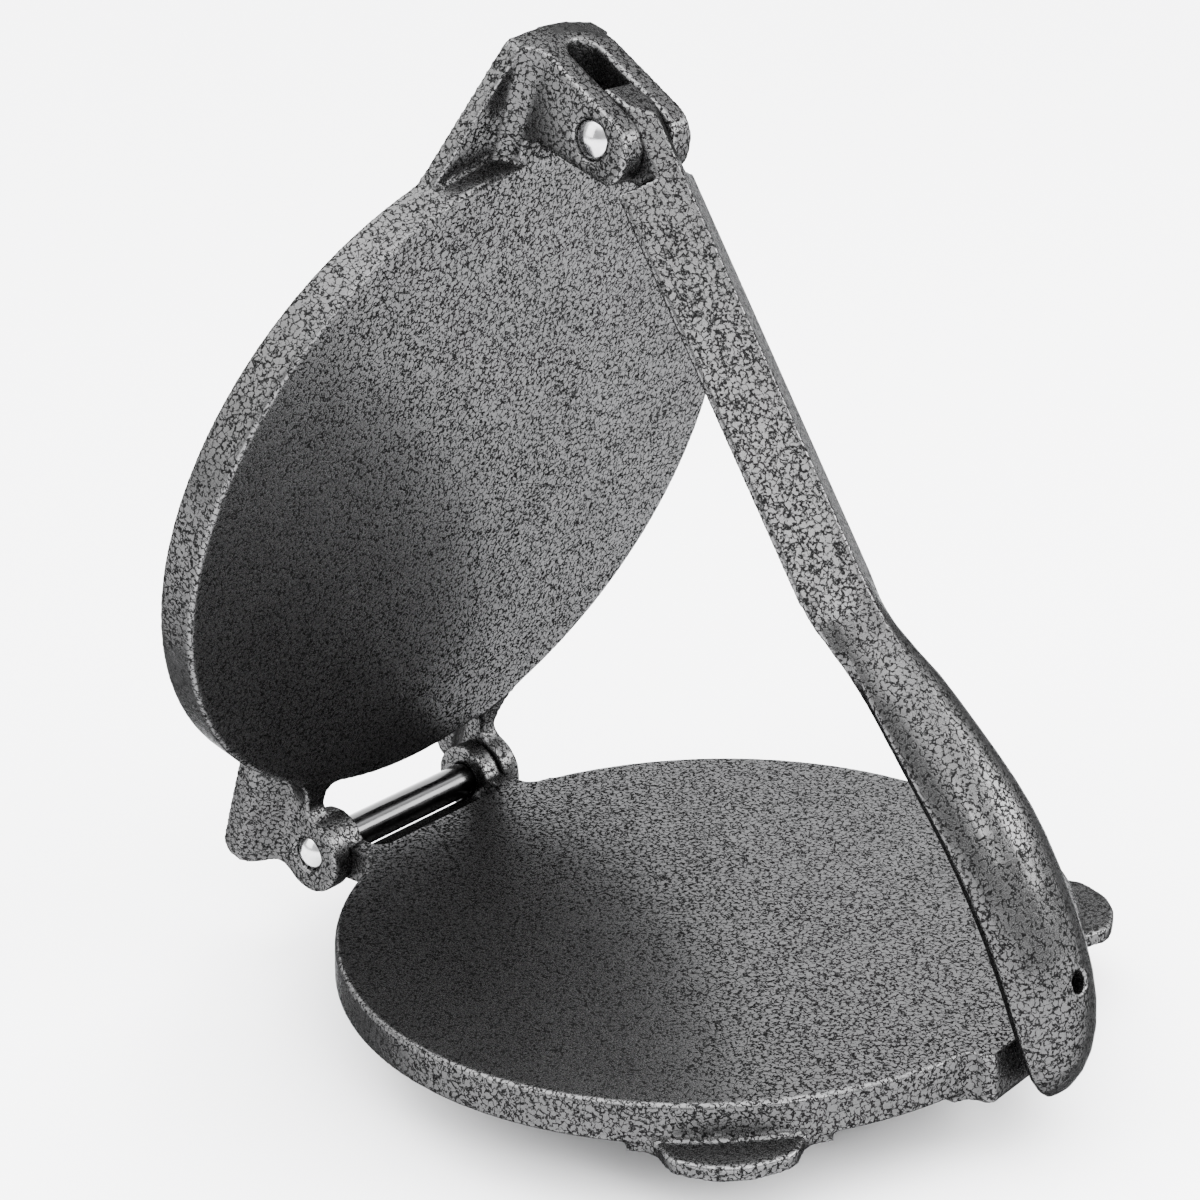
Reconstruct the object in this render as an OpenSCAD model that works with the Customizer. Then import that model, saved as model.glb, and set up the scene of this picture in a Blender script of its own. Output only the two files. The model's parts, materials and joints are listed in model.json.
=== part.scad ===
// Hinged tortilla press with two round cast plates and a press lever.
// Origin: centre of the lower plate's pressing face. +X points from the hinge to the lever end,
// +Y across the press, +Z up. The press is drawn open, as it stands with its lever leaning on the nose.

/* [Plates] */
// Radius of the pressing faces
plate_r = 101.6; // [96:0.1:108]
// Height of the lower plate's rim
base_rim_h = 11; // [10.5:0.1:13]
// Height of the upper plate's rim
press_rim_h = 12.1; // [11:0.1:15]
// Thickness of the cast plate behind each pressing face
web_t = 5; // [4:0.5:7.5]
// Width of the rim wall around each plate
rim_w = 6.5; // [5:0.5:10]
// Rounding of the rims' edges
edge_r = 1; // [0.5:0.1:1.5]
// Growth of the rim's radius from the pressing face to its far edge
rim_draft = 0.8; // [0.2:0.1:1.5]
// Space between the two pressing faces when the press is closed
face_gap = 0.5; // [0.3:0.1:2]
// Width of the stiffening ribs
rib_w = 5; // [3:0.5:8]

/* [Stand] */
// Height of the lower pressing face above the table
stand_h = 32; // [31:0.5:40]
// Radius of each leg at the table
leg_r = 6; // [4:0.5:9]
// Widening of each leg towards the plate
leg_flare = 1.5; // [0:0.5:3]
// Distance of the rear legs behind the plate's centre
rear_leg_x = 68; // [50:1:75]
// Distance of the front legs ahead of the plate's centre
front_leg_x = 42; // [30:1:60]
// Half the spread of the legs across the press
leg_y = 38; // [30:1:50]

/* [Grips and nose] */
// Angle of each side tab from the nose
tab_angle = 47.5; // [40:0.5:60]
// Reach of each tab from the plate's centre
tab_reach = 114; // [113:0.5:120]
// Half the width of a tab
tab_half_w = 16; // [12:0.5:20]
// Thickness of a tab
tab_t = 4; // [3.5:0.1:6]
// Drop of the tabs and the nose below the lower pressing face
lug_drop = 13.5; // [13:0.1:14]
// Half the width of the nose
nose_half_w = 19.5; // [15:0.5:24]
// Reach of the nose past the pressing face
nose_reach = 4.5; // [3:0.1:4.8]

/* [Hinge] */
// Distance of the hinge axis behind the pressing face's edge
hinge_back = 16.9; // [15:0.1:22]
// Drop of the hinge axis below the lower pressing face
hinge_drop = 2.5; // [0:0.1:5]
// Diameter of the hinge pin
hinge_pin_d = 10.4; // [8:0.1:12]
// Distance from the middle to the inner face of each base knuckle
knuckle_in = 26; // [22:0.5:28]
// Width of each base knuckle
knuckle_w = 6.4; // [5:0.2:8]
// Thickness of the web that joins the knuckle arms under the hinge pin
hinge_web_t = 2.4; // [2:0.1:3]
// Radius of the base knuckles
knuckle_r = 10.5; // [9:0.1:11.5]
// Width of each ear on the upper plate
ear_w = 6.6; // [5:0.2:8]
// Radius of each ear's eye
ear_r = 12; // [10:0.1:13]
// Side gap between knuckles and ears
side_gap = 0.4; // [0.3:0.1:1]
// Height of the heels above the hinge axis when closed
heel_h = 26; // [24:0.2:30]
// Reach of the heels behind the hinge axis when closed
heel_back = 13; // [12.5:0.5:16]
// Outward shift of the heels' tops from the ears below them
heel_shift = 8.6; // [6:0.2:10]
// Angle between the plates as the press stands open
open_angle = 68.6; // [60:0.1:75]

/* [Clevis] */
// Reach of the clevis pivot past the pressing face's edge
pivot_out = 16; // [15.5:0.1:20]
// Drop of the clevis pivot below the lower pressing face when closed
pivot_drop = 18; // [17:0.5:18.5]
// Distance from the pivot to the flanks of the clevis ears
clevis_r = 8.8; // [8:0.1:9.2]
// Reach of the clevis ears below the pivot when closed
clevis_low = 12; // [10.5:0.1:12.5]
// Half the width over the clevis ears
clevis_half_w = 13.1; // [12:0.1:16]
// Half the width of the slot between the clevis ears
slot_half_w = 5.6; // [5:0.1:7]
// Height of the slot's round end above the lower pressing face when closed
slot_top = 4.2; // [3:0.1:7]
// Lean of the clevis's end face
end_lean = 14.7; // [10:0.1:18]
// Thickness of the neck between plate and clevis
neck_t = 5; // [4:0.5:7]
// Half the width of the neck at its root
neck_root_w = 37.8; // [34:0.2:42]
// Half the width of the neck at its tip
neck_tip_w = 16.3; // [15:0.1:20]
// Diameter of the lever pin
lever_pin_d = 10.4; // [8:0.1:11]

/* [Lever] */
// Slope of the lever below level as the press stands open
lever_slope = 60.6; // [55:0.1:61]
// Length of the lever from its pivot to its tip
lever_l = 263.5; // [250:0.5:275]
// Distance from the pivot to the lever's shoulder
shoulder_u = 15.5; // [15:0.1:18]
// Thickness of the tongue inside the slot
tongue_t = 10.6; // [9.6:0.1:10.6]
// Radius of the tongue around its pin
tongue_r = 9.6; // [8:0.1:9.8]
// Distance from the pivot to the blunt corner of the lever's head
head_r = 11.5; // [10:0.1:11.6]
// Half the width of the gabled bar
bar_half_w = 14; // [12:0.5:16]
// Height of the bar's ridge above the pivot line
ridge_v = 12.2; // [10:0.1:14]
// Height of the bar's flat underside above the pivot line
under_v = 1.5; // [0.5:0.1:3]
// Thickness of the bar's two edges
bar_edge_t = 1.6; // [1:0.1:3]
// Distance from the pivot to where the grip begins
grip_start = 125; // [115:1:135]
// Distance from the pivot to the fullest part of the grip
grip_mid = 202; // [195:1:210]
// Rise of the widest line of the grip above the pivot line
grip_rise = 12.3; // [12:0.1:14]
// Half the width of the grip
grip_half_w = 16.6; // [12:0.1:18]
// Height of the grip's crown above its widest line
crown_h = 14.4; // [11:0.1:16]
// Depth of the grip's shallow underside below its widest line
belly_h = 2; // [1.5:0.1:3.5]
// Diameter of the hanging hole in the grip
hang_d = 5.6; // [4:0.1:7]
// Distance from the lever's tip to the hanging hole
hang_in = 26.5; // [20:0.5:35]

/* [Fits] */
// Radial clearance of the pins in their bores
pin_fit = 0.05; // [0.02:0.01:0.1]
// Height of the domed ends of the pins
dome_h = 2.2; // [1.5:0.1:3]
// Reach of the domed ends past the ears
dome_out = 0.8; // [0.3:0.1:1.5]

/* [Hidden] */
$fn = 96;
arc_steps = 8;
grip_sides = 32;
overlap = 2;

vein_grey = [0.40, 0.40, 0.41];
pin_steel = [0.78, 0.78, 0.80];

hinge_x = -plate_r - hinge_back;
hinge_z = -hinge_drop;
pivot_x = plate_r + pivot_out;
pivot_z = -pivot_drop;
back_z = face_gap + press_rim_h;
ear_in = knuckle_in + knuckle_w + side_gap;
ear_out = ear_in + ear_w;
hinge_bore_r = hinge_pin_d / 2 + pin_fit;
hinge_web_gap = 0.6;
hinge_web_z = hinge_z - hinge_bore_r - hinge_web_gap;
lever_bore_r = lever_pin_d / 2 + pin_fit;

// Sizes of the fillets and roundings of the castings
root_fillet = 20;
inner_fillet = 4;
heel_bend = 5;
arm_fillet = 5;
tab_fillet = 7;
tab_flare = 2;
tab_crown = 4.5;
tab_corner = 9;
tab_crown_r = 16;
nose_fillet = 3;
nose_corner = 2.5;
neck_fillet = 10;
clevis_rear_corner = 5.5;
clevis_end_corner = 9.5;
clevis_top_edge = 1.5;
pocket_fillet = 6;

// Reach of the neck's tip past the pivot, and the height of its arch
tip_out = 15.6;
tip_crown = 2;

// Direction of the head's blunt corner from the pivot
head_angle = 157;

// Points on an arc about c from angle a0 to a1
function arc(c, r, a0, a1) =
    [for (i = [0 : arc_steps]) let (a = a0 + (a1 - a0) * i / arc_steps) c + r * [cos(a), sin(a)]];

function unit(v) = v / norm(v);

// Points that round the corner b between a and c by radius r, bulging in or out
function corner(a, b, c, r) =
    let (
        p = unit(a - b),
        q = unit(c - b),
        half = acos(p * q) / 2,
        centre = b + unit(p + q) * r / sin(half),
        from = b + p * r / tan(half) - centre,
        to = b + q * r / tan(half) - centre,
        start = atan2(from.y, from.x),
        turn = (atan2(to.y, to.x) - start + 540) % 360 - 180
    )
    arc(centre, r, start, start + turn);

// Outline through points [x, y, r], each rounded by its own r, or sharp where r is 0
function rounded(pts) =
    let (n = len(pts), flat = [for (p = pts) [p.x, p.y]])
    [for (i = [0 : n - 1])
        each pts[i].z == 0 ? [flat[i]]
            : corner(flat[(i + n - 1) % n], flat[i], flat[(i + 1) % n], pts[i].z)];

// Half-width of a circle of radius r at distance d from its middle
function chord(r, d) = sqrt(r * r - d * d);

// Both halves of an outline that is mirrored about the X axis
function mirrored(pts) =
    concat(pts, [for (i = [len(pts) - 1 : -1 : 0]) [pts[i].x, -pts[i].y, pts[i].z]]);

module both_sides() {
    children();
    mirror([0, 1, 0]) children();
}

// A plate's turned body: pressing face at z = 0, rim reaching down to -rim_h, hollow inside the rim
module turned_plate(rim_h) {
    low_r = plate_r + rim_draft;
    hollow_r = plate_r - rim_w;
    rotate_extrude()
        polygon(rounded([
            [0, 0, 0], [0, -web_t, 0],
            [hollow_r - web_t / 2, -web_t, 0], [hollow_r, -rim_h, 0],
            [low_r, -rim_h, edge_r], [plate_r, 0, edge_r]
        ]));
}

// Upright extrusion of a plan outline between two heights
module slab(pts, low, high) {
    translate([0, 0, low]) linear_extrude(high - low) polygon(pts);
}

// Extrusion across the press of an outline in the XZ plane, from y = a to y = b
module across(a, b) {
    translate([0, b, 0]) rotate([90, 0, 0]) linear_extrude(b - a) children();
}

// Pin lying across the press about the origin, with domed ends at y = reach and -reach
module domed_pin(d, reach) {
    r = d / 2;
    dome_r = (r * r + dome_h * dome_h) / (2 * dome_h);
    both_sides()
        rotate([-90, 0, 0])
            rotate_extrude() {
                square([r, reach - dome_h]);
                intersection() {
                    translate([0, reach - dome_r]) circle(dome_r);
                    translate([0, reach - dome_h]) square([r, dome_h]);
                }
            }
}

// Puts a piece drawn as it lies when closed to where it stands open
module opened() {
    translate([hinge_x, 0, hinge_z])
        rotate([0, -open_angle, 0])
            translate([-hinge_x, 0, -hinge_z]) children();
}

// Place of the clevis pivot as the press stands open
pivot_run = pivot_x - hinge_x;
pivot_lift = pivot_z - hinge_z;
open_pivot = [
    hinge_x + pivot_run * cos(open_angle) - pivot_lift * sin(open_angle),
    0,
    hinge_z + pivot_run * sin(open_angle) + pivot_lift * cos(open_angle)
];

// Puts the lever and its pin, drawn along +X from the pivot, to where they stand open
module hung() {
    translate(open_pivot) rotate([0, lever_slope, 0]) children();
}

module tab() {
    root_x = chord(plate_r, tab_half_w);
    rim_y = tab_half_w + tab_fillet + overlap;
    outline = mirrored([
        [root_x - rim_w, rim_y, 0],
        [chord(plate_r, rim_y), rim_y, 0],
        [root_x, tab_half_w + tab_flare, tab_fillet],
        [tab_reach - tab_crown, tab_half_w - tab_flare / 4, tab_corner],
        [tab_reach, tab_half_w / 4, tab_crown_r]
    ]);
    slab(rounded(outline), -lug_drop, tab_t - lug_drop);
}

module nose() {
    root_x = chord(plate_r, nose_half_w);
    rim_y = nose_half_w + nose_fillet + overlap;
    outline = mirrored([
        [root_x - rim_w, rim_y, 0],
        [chord(plate_r, rim_y), rim_y, 0],
        [root_x, nose_half_w + 1, nose_fillet],
        [plate_r + nose_reach, nose_half_w, nose_corner]
    ]);
    slab(rounded(outline), -lug_drop, 0);
}

// Arms that carry the knuckles behind the lower plate, joined by a web under the pin
module arms() {
    knuckle_out = knuckle_in + knuckle_w;
    rim_y = knuckle_out + arm_fillet + overlap;
    root_x = -chord(plate_r, knuckle_out);
    rear_x = 1 - plate_r;
    outline = mirrored([
        [rear_x, knuckle_in, arm_fillet],
        [hinge_x, knuckle_in, 0],
        [hinge_x, knuckle_out, 0],
        [root_x, knuckle_out, arm_fillet - 1],
        [-chord(plate_r, rim_y), rim_y, 0],
        [rim_w - chord(plate_r, rim_y), rim_y, 0]
    ]);
    slab(rounded(outline), -base_rim_h, 0);
    translate([hinge_x, -knuckle_in - 1, hinge_web_z - hinge_web_t])
        cube([rear_x - hinge_x + 1, 2 * knuckle_in + 2, hinge_web_t]);
    both_sides()
        translate([hinge_x, 0, hinge_z])
            across(knuckle_in, knuckle_out) circle(knuckle_r);
}

module legs() {
    for (p = [[-rear_leg_x, leg_y], [front_leg_x, leg_y]])
        both_sides()
            translate([p.x, p.y, -stand_h])
                cylinder(r1 = leg_r, r2 = leg_r + leg_flare, h = stand_h - web_t / 2);
}

// Ribs under the lower plate, from leg to leg
module base_ribs() {
    depth = base_rim_h - 1 - web_t / 2;
    for (x = [-rear_leg_x, front_leg_x])
        translate([x - rib_w / 2, -leg_y, -web_t / 2 - depth])
            cube([rib_w, 2 * leg_y, depth]);
    both_sides()
        translate([-rear_leg_x, leg_y - rib_w / 2, -web_t / 2 - depth])
            cube([rear_leg_x + front_leg_x, rib_w, depth]);
}

module base() {
    color(vein_grey)
        difference() {
            union() {
                turned_plate(base_rim_h);
                rotate([0, 0, tab_angle]) tab();
                rotate([0, 0, -tab_angle]) tab();
                nose();
                arms();
                legs();
                base_ribs();
            }
            // Between the arms the rim is cut straight down to the web
            translate([-plate_r - 2 * overlap, -knuckle_in + arm_fillet, hinge_web_z])
                cube([2 * overlap + 1, 2 * (knuckle_in - arm_fillet), 2 * base_rim_h]);
            translate([hinge_x, 0, hinge_z])
                across(-2 * knuckle_in, 2 * knuckle_in) circle(hinge_bore_r);
        }
}

// Side outline of one hinge ear with its heel and its gusset on the upper plate's back
module ear_outline() {
    face_x = hinge_x + ear_r;
    heel_x = hinge_x - heel_back;
    heel_z = hinge_z + heel_h;
    translate([hinge_x, hinge_z]) circle(ear_r);
    polygon(rounded([
        [face_x, hinge_z, 0],
        [face_x + 2, face_gap + 0.5, 3],
        [-plate_r + rim_w, face_gap + 0.5, 0],
        [-plate_r + rim_w + 4, face_gap + web_t, 0],
        [-plate_r / 2, back_z - 1, 0],
        [hinge_x + 2 * ear_r - 1, heel_z, 12],
        [heel_x + 1, heel_z, 5],
        [heel_x, heel_z - 10, 5],
        [hinge_x - ear_r + 2.5, hinge_z + 10, 8],
        [hinge_x - ear_r, hinge_z, 0]
    ]));
}

// Section across the press of one hinge ear, upright at its eye and shifted outwards at its heel
function ear_section() =
    let (
        low = hinge_z - 2 * ear_r,
        from = hinge_z + ear_r - 2,
        to = from + heel_shift,
        top = hinge_z + 2 * heel_h,
        heel_in = ear_in + heel_shift,
        heel_out = ear_out + heel_shift
    )
    rounded([
        [ear_in, low, 0], [ear_out, low, 0], [ear_out, from, heel_bend], [heel_out, to, heel_bend],
        [heel_out, top, 0], [heel_in, top, 0], [heel_in, to, heel_bend], [ear_in, from, heel_bend]
    ]);

// One hinge ear with its heel
module ear() {
    intersection() {
        across(ear_in, ear_out + heel_shift) ear_outline();
        translate([hinge_x - 2 * heel_back, 0, 0])
            rotate([90, 0, 90]) linear_extrude(plate_r) polygon(ear_section());
    }
}

// Flares that blend an ear's outer and inner sides into the upper plate's rim
module ear_root() {
    out_c = [-chord(plate_r + root_fillet, ear_out + root_fillet), ear_out + root_fillet];
    in_c = [-chord(plate_r + inner_fillet, ear_in - inner_fillet), ear_in - inner_fillet];
    low = face_gap + 0.5;
    slab(
        concat(
            [[rim_w - plate_r, ear_in], out_c * (plate_r - overlap) / norm(out_c)],
            arc(out_c, root_fillet, atan2(-out_c.y, -out_c.x), -90),
            [[out_c.x, ear_in]]
        ),
        low, back_z);
    slab(
        concat(
            [[rim_w - plate_r, ear_in + overlap], in_c * (plate_r - overlap) / norm(in_c)],
            arc(in_c, inner_fillet, atan2(-in_c.y, -in_c.x), 90),
            [[in_c.x, ear_in + overlap]]
        ),
        low, back_z);
}

// Plan of the neck that carries the clevis, its tip a low arch
function neck_plan() =
    let (root_x = chord(plate_r, neck_root_w), rim_y = neck_root_w + neck_fillet)
    rounded(mirrored([
        [0.8 * plate_r, rim_y, 0],
        [chord(plate_r, rim_y), rim_y, 0],
        [root_x + 0.5, neck_root_w, neck_fillet],
        [pivot_x + tip_out - tip_crown, neck_tip_w, 3],
        [pivot_x + tip_out, neck_tip_w / 3, 50]
    ]));

// Side outline of the neck and of the clevis ears with their leaning end face
function clevis_side() =
    let (
        rear_x = pivot_x - clevis_r,
        low_z = pivot_z - clevis_low,
        tangent = [pivot_x + clevis_r * cos(end_lean), pivot_z - clevis_r * sin(end_lean)],
        low_x = tangent.x + (low_z - tangent.y) * tan(end_lean),
        end_x = tangent.x + (back_z - tangent.y) * tan(end_lean),
        foot = face_gap + 0.8
    )
    rounded([
        [rear_x, low_z, clevis_rear_corner], [low_x, low_z, clevis_end_corner],
        [end_x, back_z, clevis_top_edge], [0.8 * plate_r, back_z, 0],
        [0.8 * plate_r, foot, 0], [rear_x, foot, 2.5]
    ]);

// Section across the press of the neck with the clevis ears below it
function clevis_section() =
    let (floor_z = back_z - neck_t, low_z = pivot_z - 2 * clevis_r, wide = neck_root_w + 2 * neck_fillet)
    rounded([
        [-wide, floor_z, 0], [-clevis_half_w, floor_z, pocket_fillet], [-clevis_half_w, low_z, 0],
        [clevis_half_w, low_z, 0], [clevis_half_w, floor_z, pocket_fillet], [wide, floor_z, 0],
        [wide, back_z, 0], [-wide, back_z, 0]
    ]);

module clevis() {
    intersection() {
        slab(neck_plan(), pivot_z - 2 * clevis_r, back_z);
        across(-plate_r, plate_r) polygon(clevis_side());
        translate([0.8 * plate_r, 0, 0])
            rotate([90, 0, 90]) linear_extrude(plate_r) polygon(clevis_section());
    }
}

// Slot that takes the lever's tongue, with a round closed end
module clevis_slot() {
    depth = slot_top - pivot_z + 2 * clevis_r;
    translate([pivot_x - clevis_r - overlap / 10, 0, 0])
        rotate([90, 0, 90])
            linear_extrude(4 * clevis_r) {
                translate([0, slot_top - slot_half_w]) circle(slot_half_w);
                translate([-slot_half_w, slot_top - slot_half_w - depth]) square([2 * slot_half_w, depth]);
            }
}

// Ribs on the upper plate's back, from the hinge ears to the neck
module press_ribs() {
    ear_mid = (ear_in + ear_out) / 2;
    start_x = -plate_r + rim_w;
    end_x = plate_r - rim_w / 2;
    both_sides()
        slab([
            [start_x, ear_mid - rib_w / 2], [end_x, clevis_half_w - rib_w],
            [end_x, clevis_half_w], [start_x, ear_mid + rib_w / 2]
        ], face_gap + web_t / 2, back_z - 1);
    translate([-rib_w / 2, -plate_r + rim_w / 2, face_gap + web_t / 2])
        cube([rib_w, 2 * plate_r - rim_w, press_rim_h - 1 - web_t / 2]);
}

module upper_plate() {
    color(vein_grey)
        opened()
            difference() {
                union() {
                    translate([0, 0, face_gap]) mirror([0, 0, 1]) turned_plate(press_rim_h);
                    both_sides() {
                        ear();
                        ear_root();
                    }
                    press_ribs();
                    clevis();
                }
                translate([hinge_x, 0, hinge_z])
                    across(-2 * ear_out, 2 * ear_out) circle(hinge_bore_r);
                clevis_slot();
                translate([pivot_x, 0, pivot_z])
                    across(-2 * clevis_half_w, 2 * clevis_half_w) circle(lever_bore_r);
            }
}

module hinge_pin() {
    color(pin_steel)
        translate([hinge_x, 0, hinge_z]) domed_pin(hinge_pin_d, ear_out + dome_out);
}

module lever_pin() {
    color(pin_steel)
        hung() domed_pin(lever_pin_d, clevis_half_w + dome_out);
}

// Smooth step from 0 at a to 1 at b
function ease(a, b, u) =
    let (t = min(max((u - a) / (b - a), 0), 1))
    t * t * (3 - 2 * t);

// Share of the grip's way from its fullest part to its tip
function tip_share(u) = max((u - grip_mid) / (lever_l - grip_mid), 0);

// Height of the grip's widest line above the pivot line, at distance u from the pivot
bar_mid_v = (ridge_v + under_v) / 3;
tip_drop = grip_rise - 1;
function grip_mid_v(u) =
    bar_mid_v + (grip_rise - bar_mid_v) * pow(ease(grip_start, grip_mid, u), 1.4)
    - tip_drop * pow(tip_share(u), 2.2);

// Size of the grip's section at distance u, as a share of its fullest section
grip_neck = 0.7;
function grip_share(u) =
    (grip_neck + (1 - grip_neck) * ease(grip_start, grip_mid, u)) * sqrt(1 - pow(tip_share(u), 5.2));

// Distance from the bar's middle to its gabled outline, in direction t
bar_edge_v = under_v + bar_edge_t;
gable_slope = atan2(ridge_v - bar_edge_v, bar_half_w);
roof_corner = atan2(bar_edge_v - bar_mid_v, bar_half_w);
under_corner = atan2(under_v - bar_mid_v, bar_half_w);
function gable_r(t) =
    let (
        side = abs(cos(t)),
        roof = side * sin(gable_slope) + sin(t) * cos(gable_slope),
        to_side = side > 0.001 ? bar_half_w / side : 2 * bar_half_w,
        to_roof = roof > 0.001 ? (ridge_v - bar_mid_v) * cos(gable_slope) / roof : 2 * bar_half_w,
        to_under = sin(t) < -0.001 ? (under_v - bar_mid_v) / sin(t) : 2 * bar_half_w
    )
    min(to_side, to_roof, to_under);

// Distance from the grip's widest line to its outline in direction t: a high crown, a shallow underside
function oval_r(t, share) = share / norm([cos(t) / grip_half_w, sin(t) / (sin(t) > 0 ? crown_h : belly_h)]);

// Direction of point i of a ring: even steps, but for the four that hold the bar's corners
function ring_angle(i) =
    i == 0 ? roof_corner
    : i == grip_sides - 1 ? under_corner
    : i == grip_sides / 2 ? 180 - roof_corner
    : i == grip_sides / 2 + 1 ? 180 - under_corner
    : 360 * i / grip_sides;

// One ring of points around the lever at distance u: gabled on the bar, oval on the grip
function lever_ring(u) =
    let (w = ease(grip_start, grip_start + 35, u), share = grip_share(u), mid = grip_mid_v(u))
    [for (i = [0 : grip_sides - 1])
        let (
            t = ring_angle(i),
            bar = [gable_r(t) * cos(t), bar_mid_v + gable_r(t) * sin(t)],
            oval = [oval_r(t, share) * cos(t), mid + oval_r(t, share) * sin(t)],
            p = bar * (1 - w) + oval * w
        )
        [u, p.x, p.y]];

// Places of the rings: both ends of the bar, even steps to the fullest part, closer ones to the tip
bend_steps = 10;
tip_steps = 10;
ring_places = concat(
    [shoulder_u],
    [for (i = [0 : bend_steps]) grip_start + (grip_mid - grip_start) * i / bend_steps],
    [for (i = [1 : tip_steps]) grip_mid + (lever_l - grip_mid) * sin(88 * i / tip_steps) / sin(88)]
);

module lever_body() {
    rings = [for (u = [for (i = [0 : len(ring_places) - 2]) ring_places[i]]) lever_ring(u)];
    count = len(rings);
    tip = [lever_l, 0, grip_mid_v(lever_l)];
    start = [shoulder_u, 0, bar_mid_v];
    points = concat([for (ring = rings) each ring], [tip, start]);
    tip_index = count * grip_sides;
    faces = [
        for (k = [0 : count - 2]) for (i = [0 : grip_sides - 1])
            let (j = (i + 1) % grip_sides, a = k * grip_sides, b = a + grip_sides)
            each [[a + i, a + j, b + j], [a + i, b + j, b + i]],
        for (i = [0 : grip_sides - 1])
            let (j = (i + 1) % grip_sides, a = (count - 1) * grip_sides)
            each [[a + i, a + j, tip_index], [j, i, tip_index + 1]]
    ];
    polyhedron(points, [for (f = faces) [f[2], f[1], f[0]]]);
}

// Side outline of the tongue, from its head with a blunt corner to inside the bar
function tongue_side() =
    let (slack = acos(tongue_r / head_r))
    concat(
        rounded([
            [shoulder_u + 8, under_v + 0.5, 0],
            [shoulder_u + 8, ridge_v, 0],
            [1, ridge_v, 5],
            head_r * [cos(head_angle), sin(head_angle), 0]
        ]),
        arc([0, 0], tongue_r, head_angle + slack, 290),
        [[shoulder_u, under_v + 0.5]]
    );

// Tongue with the bar's gabled top carried on over its head
module tongue() {
    half_t = tongue_t / 2;
    length = shoulder_u + 8 + 2 * tongue_r;
    intersection() {
        across(-half_t, half_t) polygon(tongue_side());
        translate([-2 * tongue_r, 0, 0])
            rotate([90, 0, 90])
                linear_extrude(length + 1)
                    polygon([
                        [-half_t - 1, -2 * tongue_r], [half_t + 1, -2 * tongue_r],
                        [half_t + 1, ridge_v - (half_t + 1) * tan(gable_slope)], [0, ridge_v],
                        [-half_t - 1, ridge_v - (half_t + 1) * tan(gable_slope)]
                    ]);
    }
}

module lever() {
    hang_u = lever_l - hang_in;
    color(vein_grey)
        hung()
            difference() {
                union() {
                    lever_body();
                    tongue();
                }
                across(-tongue_t, tongue_t) circle(lever_bore_r);
                translate([hang_u, 0, grip_mid_v(hang_u) - 2 * crown_h])
                    cylinder(d = hang_d, h = 4 * crown_h);
            }
}

base();
upper_plate();
hinge_pin();
lever_pin();
lever();
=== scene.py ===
"""Looks of the tortilla press: soft-edged castings, silver vein coat and polished pins."""
import json
import math

import bmesh
import bpy
from mathutils import Matrix, Vector


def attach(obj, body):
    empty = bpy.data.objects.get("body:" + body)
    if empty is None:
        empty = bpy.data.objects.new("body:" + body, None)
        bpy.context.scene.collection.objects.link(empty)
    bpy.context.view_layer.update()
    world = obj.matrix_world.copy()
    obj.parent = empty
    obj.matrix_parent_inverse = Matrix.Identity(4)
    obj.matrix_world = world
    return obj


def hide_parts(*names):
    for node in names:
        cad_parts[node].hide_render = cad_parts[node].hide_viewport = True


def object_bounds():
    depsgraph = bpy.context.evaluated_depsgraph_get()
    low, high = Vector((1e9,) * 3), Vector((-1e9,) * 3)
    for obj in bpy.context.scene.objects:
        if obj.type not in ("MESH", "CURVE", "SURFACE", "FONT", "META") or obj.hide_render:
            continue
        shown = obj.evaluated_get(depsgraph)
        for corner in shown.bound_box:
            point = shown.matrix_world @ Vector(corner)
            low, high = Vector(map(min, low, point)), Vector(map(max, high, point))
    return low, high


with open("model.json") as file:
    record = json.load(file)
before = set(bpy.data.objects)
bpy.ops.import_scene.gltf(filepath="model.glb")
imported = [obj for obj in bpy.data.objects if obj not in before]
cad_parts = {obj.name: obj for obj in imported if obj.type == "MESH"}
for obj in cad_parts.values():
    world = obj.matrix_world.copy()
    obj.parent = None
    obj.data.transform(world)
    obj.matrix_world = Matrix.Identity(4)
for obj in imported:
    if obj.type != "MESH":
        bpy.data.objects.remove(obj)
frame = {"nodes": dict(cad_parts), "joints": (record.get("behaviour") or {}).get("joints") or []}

cad_low, cad_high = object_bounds()
scene = bpy.context.scene

MM = 0.001

# Mould softening: the remeshing's cell and the share of faces kept afterwards
PLATE_CELL, PLATE_KEEP = 0.75 * MM, 0.35
LEVER_CELL, LEVER_KEEP = 0.6 * MM, 0.5
SMOOTH_ROUNDS, SMOOTH_STRENGTH = 4, 0.5
WELD = 0.001 * MM

# The pressing faces carry a fainter coat pattern; closed, they stand this far apart
CALM = "calm"
FACE_GAP = 0.5 * MM
FACE_DEPTH, FACE_FACING = 0.4 * MM, 0.9

# The vein coat's pattern, with scales in cells to the metre
WOBBLE_SCALE, WOBBLE_REACH = 900.0, 2.6 * MM
VEIN_SCALE, VEIN_CORE, VEIN_EDGE = 560.0, 0.03, 0.17
BREAK_SCALE, BREAK_LOW, BREAK_HIGH, BREAK_SHIFT = 850.0, 0.52, 0.72, 0.14
CLOUD_SCALE, CLOUD_DEPTH = 60.0, 0.005
FLECK_SCALE, FLECK_DARK, FLECK_PALE = 3200.0, 0.044, 0.07
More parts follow.
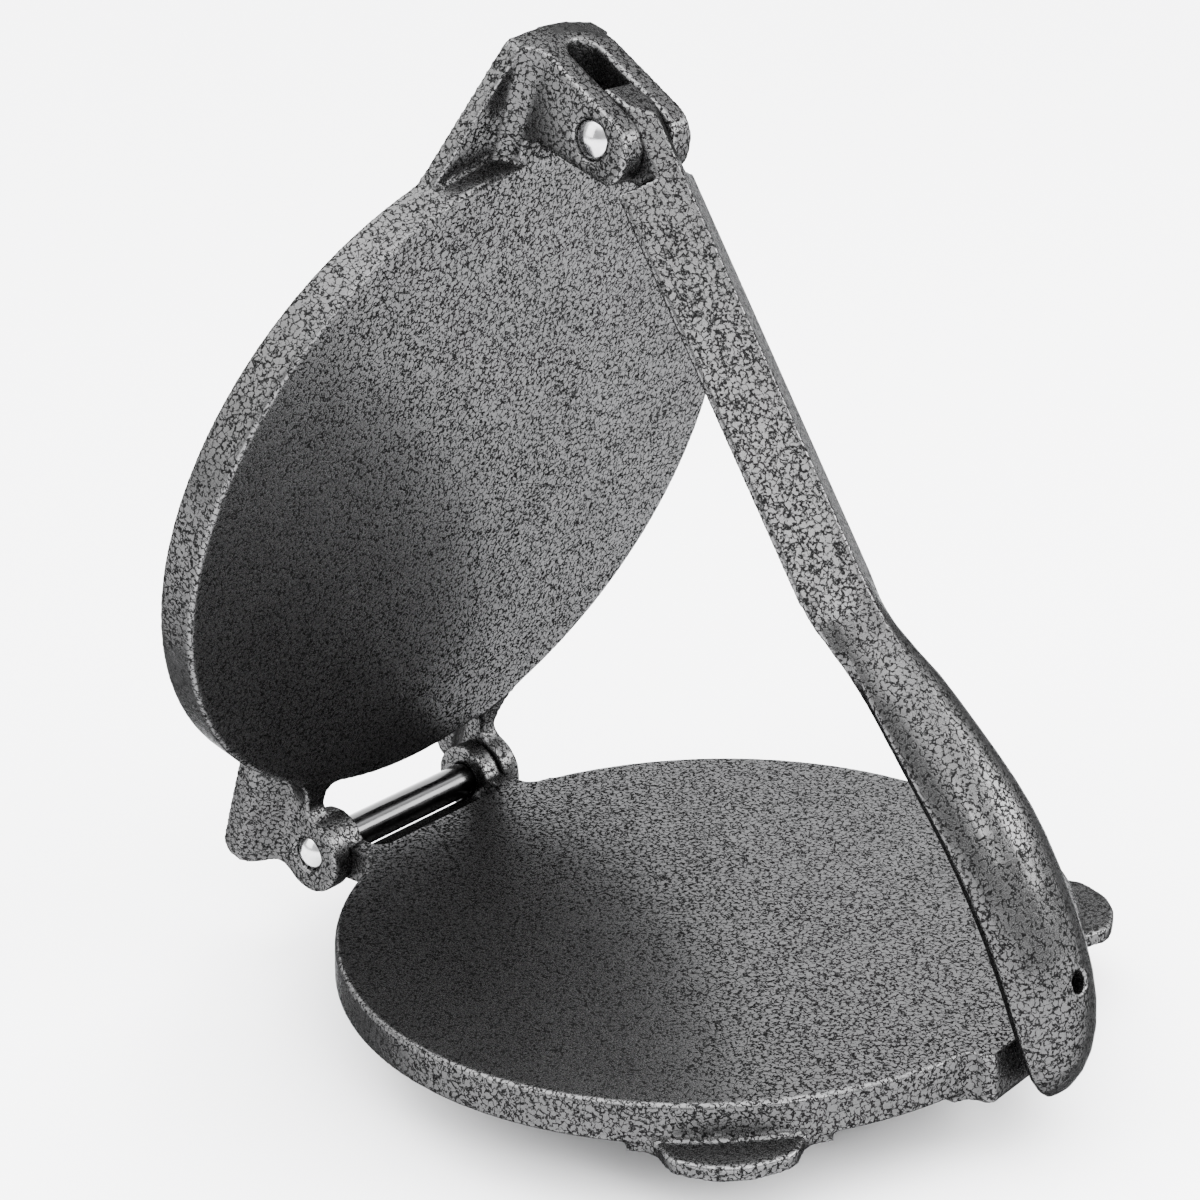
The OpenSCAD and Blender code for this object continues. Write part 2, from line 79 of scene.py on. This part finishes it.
# Painted highlight: sharp edges, found by pointiness, get a paler coat colour that stands in for
# the bright lines light draws along the rims
EDGE_HIGHLIGHT_LOW, EDGE_HIGHLIGHT_HIGH, EDGE_HIGHLIGHT_GAIN = 0.51, 0.57, 0.1
CALM_VEIN, CALM_GAIN = 0.95, 1.1
VEIN_GREY, VEIN_TINT = 0.005, 0.0
ROUND_TINT, CALM_TINT = 0.06, 0.5
PALE_ROUGH, VEIN_ROUGH, FLECK_ROUGH = 0.27, 0.5, 0.04
COAT_METALLIC = 0.95
FLECK_HEIGHT, COAT_BUMP, COAT_BUMP_DEPTH = 0.15, 0.3, 0.2 * MM

# The pins: domed ends pale, the shaft painted dark as painted shade for the dark things it
# reflects, with fine rings
RING_SCALE = (900.0, 120.0, 900.0)
PIN_CLOUD_SCALE = 300.0
PIN_SHAFT_PAINTED_SHADE, PIN_END_LOW, PIN_END_HIGH = 0.05, 0.4, 0.52
DOME_LOW, DOME_HIGH = 0.3, 0.6
PIN_SMOOTH, PIN_ROUGH = 0.12, 0.24
PIN_DULL_LOW, PIN_DULL_HIGH = -0.02, 0.04
PIN_BUMP, PIN_BUMP_DEPTH = 0.12, 0.1 * MM

# Noise seldom leaves this band, which the remaps spread over their own range
NOISE_LOW, NOISE_HIGH = 0.3, 0.7

# The floor
FLOOR_Z = cad_low.z
FLOOR_HALF = 6.0
FLOOR_GREY, FLOOR_ROUGH, FLOOR_SPECULAR = 0.92, 0.9, 0.1

# The studio's surroundings: a bright wall behind the press and a bright ceiling
WALL = (-0.67, 0.74, 0.0)
WALL_FROM, WALL_FULL = 0.1, 0.75
CEILING_FROM, CEILING_FULL = 0.45, 0.9
ROOM_LIGHT, WALL_LIGHT, CEILING_LIGHT = 1.1, 6.4, 11.0

# The photograph's viewpoint: yaw from +X, pitch above level and roll, in radians
CAMERA_AT = (0.410805, -0.486539, 0.328920)
CAMERA_YAW, CAMERA_PITCH, CAMERA_ROLL = 2.311, -0.357, -0.048
LENS, SENSOR = 77.736, 36.0
CLIP_NEAR, CLIP_FAR = 0.01, 50.0


class Tree:
    """Short calls for making and joining a material's nodes."""

    def __init__(self, material):
        material.use_nodes = True
        self.tree = material.node_tree
        self.tree.nodes.clear()

    def feed(self, socket, value):
        if isinstance(value, bpy.types.NodeSocket):
            self.tree.links.new(value, socket)
        else:
            socket.default_value = value

    def node(self, kind, inputs=None, **settings):
        made = self.tree.nodes.new(kind)
        for key, value in settings.items():
            setattr(made, key, value)
        for key, value in (inputs or {}).items():
            self.feed(made.inputs[key], value)
        return made

    def math(self, operation, a, b=0.0):
        return self.node("ShaderNodeMath", {0: a, 1: b}, operation=operation).outputs[0]

    def vector(self, operation, a, b, output=0):
        made = self.node("ShaderNodeVectorMath", {0: a, 1: b}, operation=operation)
        return made.outputs[output]

    def remap(self, value, low, high, to_low=0.0, to_high=1.0, smooth=False):
        made = self.node("ShaderNodeMapRange", {
            "Value": value, "From Min": low, "From Max": high,
            "To Min": to_low, "To Max": to_high})
        if smooth:
            made.interpolation_type = "SMOOTHSTEP"
        return made.outputs["Result"]

    def spread(self, noise, to_low, to_high):
        return self.remap(noise, NOISE_LOW, NOISE_HIGH, to_low, to_high)

    def noise(self, coords, scale, detail=2.0, roughness=0.5, colour=False):
        made = self.node("ShaderNodeTexNoise", {
            "Vector": coords, "Scale": scale, "Detail": detail, "Roughness": roughness})
        return made.outputs["Color" if colour else "Fac"]

    def mix(self, factor, a, b):
        """Mixes two colours; the sockets 0, 6, 7 and 2 are the Mix node's colour ones."""
        made = self.node("ShaderNodeMix", {0: factor}, data_type="RGBA")
        self.feed(made.inputs[6], a)
        self.feed(made.inputs[7], b)
        return made.outputs[2]

    def coordinates(self, kind):
        return self.node("ShaderNodeTexCoord").outputs[kind]

    def finish(self, kind, shader):
        out = self.node(kind)
        self.tree.links.new(shader.outputs[0], out.inputs["Surface"])


def grey(level):
    """A grey with a trace of blue, as of cold steel."""
    return (level, level, level * 1.01, 1.0)


def vein_lines(t, place, calm):
    """Thin wriggling lines: the edges of bent cells, broken off here and there."""
    wobble = t.noise(place, WOBBLE_SCALE, colour=True)
    wobble = t.vector("SUBTRACT", wobble, (0.5, 0.5, 0.5))
    wobble = t.vector("MULTIPLY", wobble, (WOBBLE_REACH,) * 3)
    bent = t.vector("ADD", place, wobble)
    cells = t.node("ShaderNodeTexVoronoi", {"Vector": bent, "Scale": VEIN_SCALE},
                   feature="DISTANCE_TO_EDGE").outputs["Distance"]
    breaks = t.noise(place, BREAK_SCALE, detail=1.0)
    broken = t.math("ADD", cells, t.remap(breaks, BREAK_LOW, BREAK_HIGH, 0.0, BREAK_SHIFT))
    line = t.remap(broken, VEIN_CORE, VEIN_EDGE, 1.0, 0.0, smooth=True)
    return t.math("MULTIPLY", line, t.remap(calm, 0.0, 1.0, 1.0, CALM_VEIN))


def vein_coat():
    """Silver vein powder coat: pale metallic grey, crossed by thin wriggling dark lines."""
    material = bpy.data.materials.new("vein_coat")
    t = Tree(material)
    place = t.coordinates("Object")
    calm = t.node("ShaderNodeAttribute", attribute_name=CALM).outputs["Fac"]
    line = vein_lines(t, place, calm)

    cloud = t.noise(place, CLOUD_SCALE, detail=3.0)
    fleck = t.noise(place, FLECK_SCALE, roughness=0.7)
    # Painted highlight: sharp edges are made paler to stand in for the highlights along the rims
    pointed = t.node("ShaderNodeNewGeometry").outputs["Pointiness"]
    painted_edge_highlight = t.remap(pointed, EDGE_HIGHLIGHT_LOW, EDGE_HIGHLIGHT_HIGH, 0.0, EDGE_HIGHLIGHT_GAIN)
    bright = t.math("ADD", t.spread(fleck, FLECK_DARK, FLECK_PALE),
                    t.spread(cloud, -CLOUD_DEPTH, CLOUD_DEPTH))
    bright = t.math("MULTIPLY", bright, t.remap(calm, 0.0, 1.0, 1.0, CALM_GAIN))
    bright = t.math("ADD", bright, painted_edge_highlight)
    pale = t.node("ShaderNodeCombineColor", {0: bright, 1: bright, 2: bright}).outputs[0]
    colour = t.mix(line, pale, grey(VEIN_GREY))

    rough = t.math("ADD", t.remap(line, 0.0, 1.0, PALE_ROUGH, VEIN_ROUGH),
                   t.spread(fleck, -FLECK_ROUGH, FLECK_ROUGH))
    height = t.math("ADD", t.math("MULTIPLY", line, -1.0),
                    t.math("MULTIPLY", fleck, FLECK_HEIGHT))
    bump = t.node("ShaderNodeBump", {
        "Height": height, "Strength": COAT_BUMP, "Distance": COAT_BUMP_DEPTH})
    edge_tint = t.mix(line, t.mix(calm, grey(ROUND_TINT), grey(CALM_TINT)), grey(VEIN_TINT))
    shader = t.node("ShaderNodeBsdfPrincipled", {
        "Base Color": colour, "Roughness": rough, "Metallic": COAT_METALLIC,
        "Specular Tint": edge_tint, "Normal": bump.outputs[0]})
    t.finish("ShaderNodeOutputMaterial", shader)
    return material


def pin_steel():
    """Polished steel, finely ringed; the domed ends pale and the shaft painted dark, a painted
    shade standing in for the dark things it reflects.
    """
    material = bpy.data.materials.new("pin_steel")
    t = Tree(material)
    place = t.coordinates("Object")
    rings = t.noise(t.vector("MULTIPLY", place, RING_SCALE), 1.0, detail=3.0)
    cloud = t.noise(place, PIN_CLOUD_SCALE)
    rough = t.math("ADD", t.spread(rings, PIN_SMOOTH, PIN_ROUGH),
                   t.spread(cloud, PIN_DULL_LOW, PIN_DULL_HIGH))
    end = t.mix(t.spread(cloud, 0.0, 1.0), grey(PIN_END_LOW), grey(PIN_END_HIGH))
    along = t.node("ShaderNodeSeparateXYZ", {0: t.coordinates("Normal")}).outputs["Y"]
    # Facing along the pin marks the domed ends; the rest, the shaft, takes the painted shade
    # colour
    domed = t.remap(t.math("ABSOLUTE", along), DOME_LOW, DOME_HIGH)
    bump = t.node("ShaderNodeBump", {
        "Height": rings, "Strength": PIN_BUMP, "Distance": PIN_BUMP_DEPTH})
    shader = t.node("ShaderNodeBsdfPrincipled", {
        "Base Color": t.mix(domed, grey(PIN_SHAFT_PAINTED_SHADE), end), "Roughness": rough,
        "Metallic": 1.0, "Normal": bump.outputs[0]})
    t.finish("ShaderNodeOutputMaterial", shader)
    return material


def apply_modifiers(obj):
    """Puts the result of the object's modifiers in place of its mesh."""
    graph = bpy.context.evaluated_depsgraph_get()
    mesh = bpy.data.meshes.new_from_object(obj.evaluated_get(graph))
    obj.modifiers.clear()
    obj.data = mesh


def dress(mesh, material):
    """Gives the mesh this material alone, and smooth shading."""
    mesh.materials.clear()
    mesh.materials.append(material)
    for face in mesh.polygons:
        face.use_smooth = True


def mark_calm(obj, centre, normal):
    """Marks the points of the pressing face, where the coat's lines are fainter."""
    marks = obj.data.attributes.new(CALM, "FLOAT", "POINT")
    for point in obj.data.vertices:
        height = (point.co - centre).dot(normal)
        if abs(height) < FACE_DEPTH and point.normal.dot(normal) > FACE_FACING:
            marks.data[point.index].value = 1.0


def casting(name, node, cell, keep, pressing=None):
    """A cast piece: the CAD node's form with its edges softened as by a sand mould."""
    mesh = frame["nodes"][node].data.copy()
    work = bmesh.new()
    work.from_mesh(mesh)
    bmesh.ops.remove_doubles(work, verts=work.verts, dist=WELD)
    work.to_mesh(mesh)
    work.free()
    obj = bpy.data.objects.new(name, mesh)
    scene.collection.objects.link(obj)

    remesh = obj.modifiers.new("remesh", "REMESH")
    remesh.mode = "VOXEL"
    remesh.voxel_size = cell
    remesh.adaptivity = 0.0
    smooth = obj.modifiers.new("smooth", "SMOOTH")
    smooth.factor = SMOOTH_STRENGTH
    smooth.iterations = SMOOTH_ROUNDS
    fewer = obj.modifiers.new("fewer", "DECIMATE")
    fewer.ratio = keep
    apply_modifiers(obj)
    dress(obj.data, COAT)
    if pressing:
        mark_calm(obj, *pressing)
    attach(obj, node)
    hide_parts(node)


def lower_face():
    """A point on the lower pressing face, and its normal."""
    return Vector((0, 0, 0)), Vector((0, 0, 1))


def upper_face():
    """The same of the upper one, which lies on the lower when shut and stands open here."""
    joint = next(j for j in frame["joints"] if j["name"] == "plate_hinge")
    hinge = Vector(joint["pos_m"])
    opened = Matrix.Rotation(math.radians(-joint["range_deg"][1]), 3, "Y")
    shut_point, shut_normal = Vector((0, 0, FACE_GAP)), Vector((0, 0, -1))
    return hinge + opened @ (shut_point - hinge), opened @ shut_normal


def floor():
    """A large pale sheet under the press."""
    material = bpy.data.materials.new("floor")
    t = Tree(material)
    shader = t.node("ShaderNodeBsdfPrincipled", {
        "Base Color": grey(FLOOR_GREY), "Roughness": FLOOR_ROUGH,
        "Specular IOR Level": FLOOR_SPECULAR})
    t.finish("ShaderNodeOutputMaterial", shader)
    signs = ((-1, -1), (1, -1), (1, 1), (-1, 1))
    corners = [(x * FLOOR_HALF, y * FLOOR_HALF, FLOOR_Z) for x, y in signs]
    mesh = bpy.data.meshes.new("floor")
    mesh.from_pydata(corners, [], [(0, 1, 2, 3)])
    mesh.materials.append(material)
    obj = bpy.data.objects.new("floor", mesh)
    scene.collection.objects.link(obj)


def area_light(name, place, target, size, power):
    light = bpy.data.lights.new(name, "AREA")
    light.shape = "RECTANGLE"
    light.size, light.size_y = size
    light.energy = power
    obj = bpy.data.objects.new(name, light)
    obj.location = place
    obj.rotation_mode = "QUATERNION"
    obj.rotation_quaternion = (Vector(target) - Vector(place)).to_track_quat("-Z", "Y")
    scene.collection.objects.link(obj)


def studio_world():
    """A dim studio with a bright wall behind the press and a bright ceiling."""
    made = bpy.data.worlds.new("studio")
    t = Tree(made)
    place = t.coordinates("Generated")
    aside = t.vector("DOT_PRODUCT", place, WALL, output="Value")
    up = t.node("ShaderNodeSeparateXYZ", {0: place}).outputs["Z"]
    wall = t.remap(aside, WALL_FROM, WALL_FULL, ROOM_LIGHT, WALL_LIGHT, smooth=True)
    ceiling = t.remap(up, CEILING_FROM, CEILING_FULL, ROOM_LIGHT, CEILING_LIGHT, smooth=True)
    level = t.math("MAXIMUM", wall, ceiling)
    shader = t.node("ShaderNodeBackground", {"Color": grey(1.0), "Strength": level})
    t.finish("ShaderNodeOutputWorld", shader)
    scene.world = made


def camera():
    """The photograph's viewpoint."""
    ahead = Vector((math.cos(CAMERA_PITCH) * math.cos(CAMERA_YAW),
                    math.cos(CAMERA_PITCH) * math.sin(CAMERA_YAW), math.sin(CAMERA_PITCH)))
    right = ahead.cross(Vector((0, 0, 1))).normalized()
    up = right.cross(ahead)
    cos, sin = math.cos(CAMERA_ROLL), math.sin(CAMERA_ROLL)
    side, top = right * cos + up * sin, up * cos - right * sin
    data = bpy.data.cameras.new("camera")
    data.sensor_width = SENSOR
    data.lens = LENS
    data.clip_start, data.clip_end = CLIP_NEAR, CLIP_FAR
    obj = bpy.data.objects.new("camera", data)
    turn = Matrix((side, top, -ahead)).transposed().to_4x4()
    obj.matrix_world = Matrix.Translation(CAMERA_AT) @ turn
    scene.collection.objects.link(obj)
    scene.camera = obj


COAT = vein_coat()
STEEL = pin_steel()

casting("lower_casting", "base", PLATE_CELL, PLATE_KEEP, lower_face())
casting("upper_casting", "upper_plate", PLATE_CELL, PLATE_KEEP, upper_face())
casting("lever_casting", "lever", LEVER_CELL, LEVER_KEEP)
for node in ("hinge_pin", "lever_pin"):
    dress(frame["nodes"][node].data, STEEL)

floor()
studio_world()
# Each light's name, place, target, size in metres and power in watts
area_light("key", (-0.9, -1.5, 0.9), (0, 0, 0.05), (1.2, 1.2), 28.0)
area_light("front", (1.25, -0.58, 0.85), (0.03, 0, 0.13), (0.4, 0.4), 12.0)
area_light("side", (1.13, 0.87, 0.69), (0.09, 0, 0.06), (1.2, 0.55), 50.0)
camera()
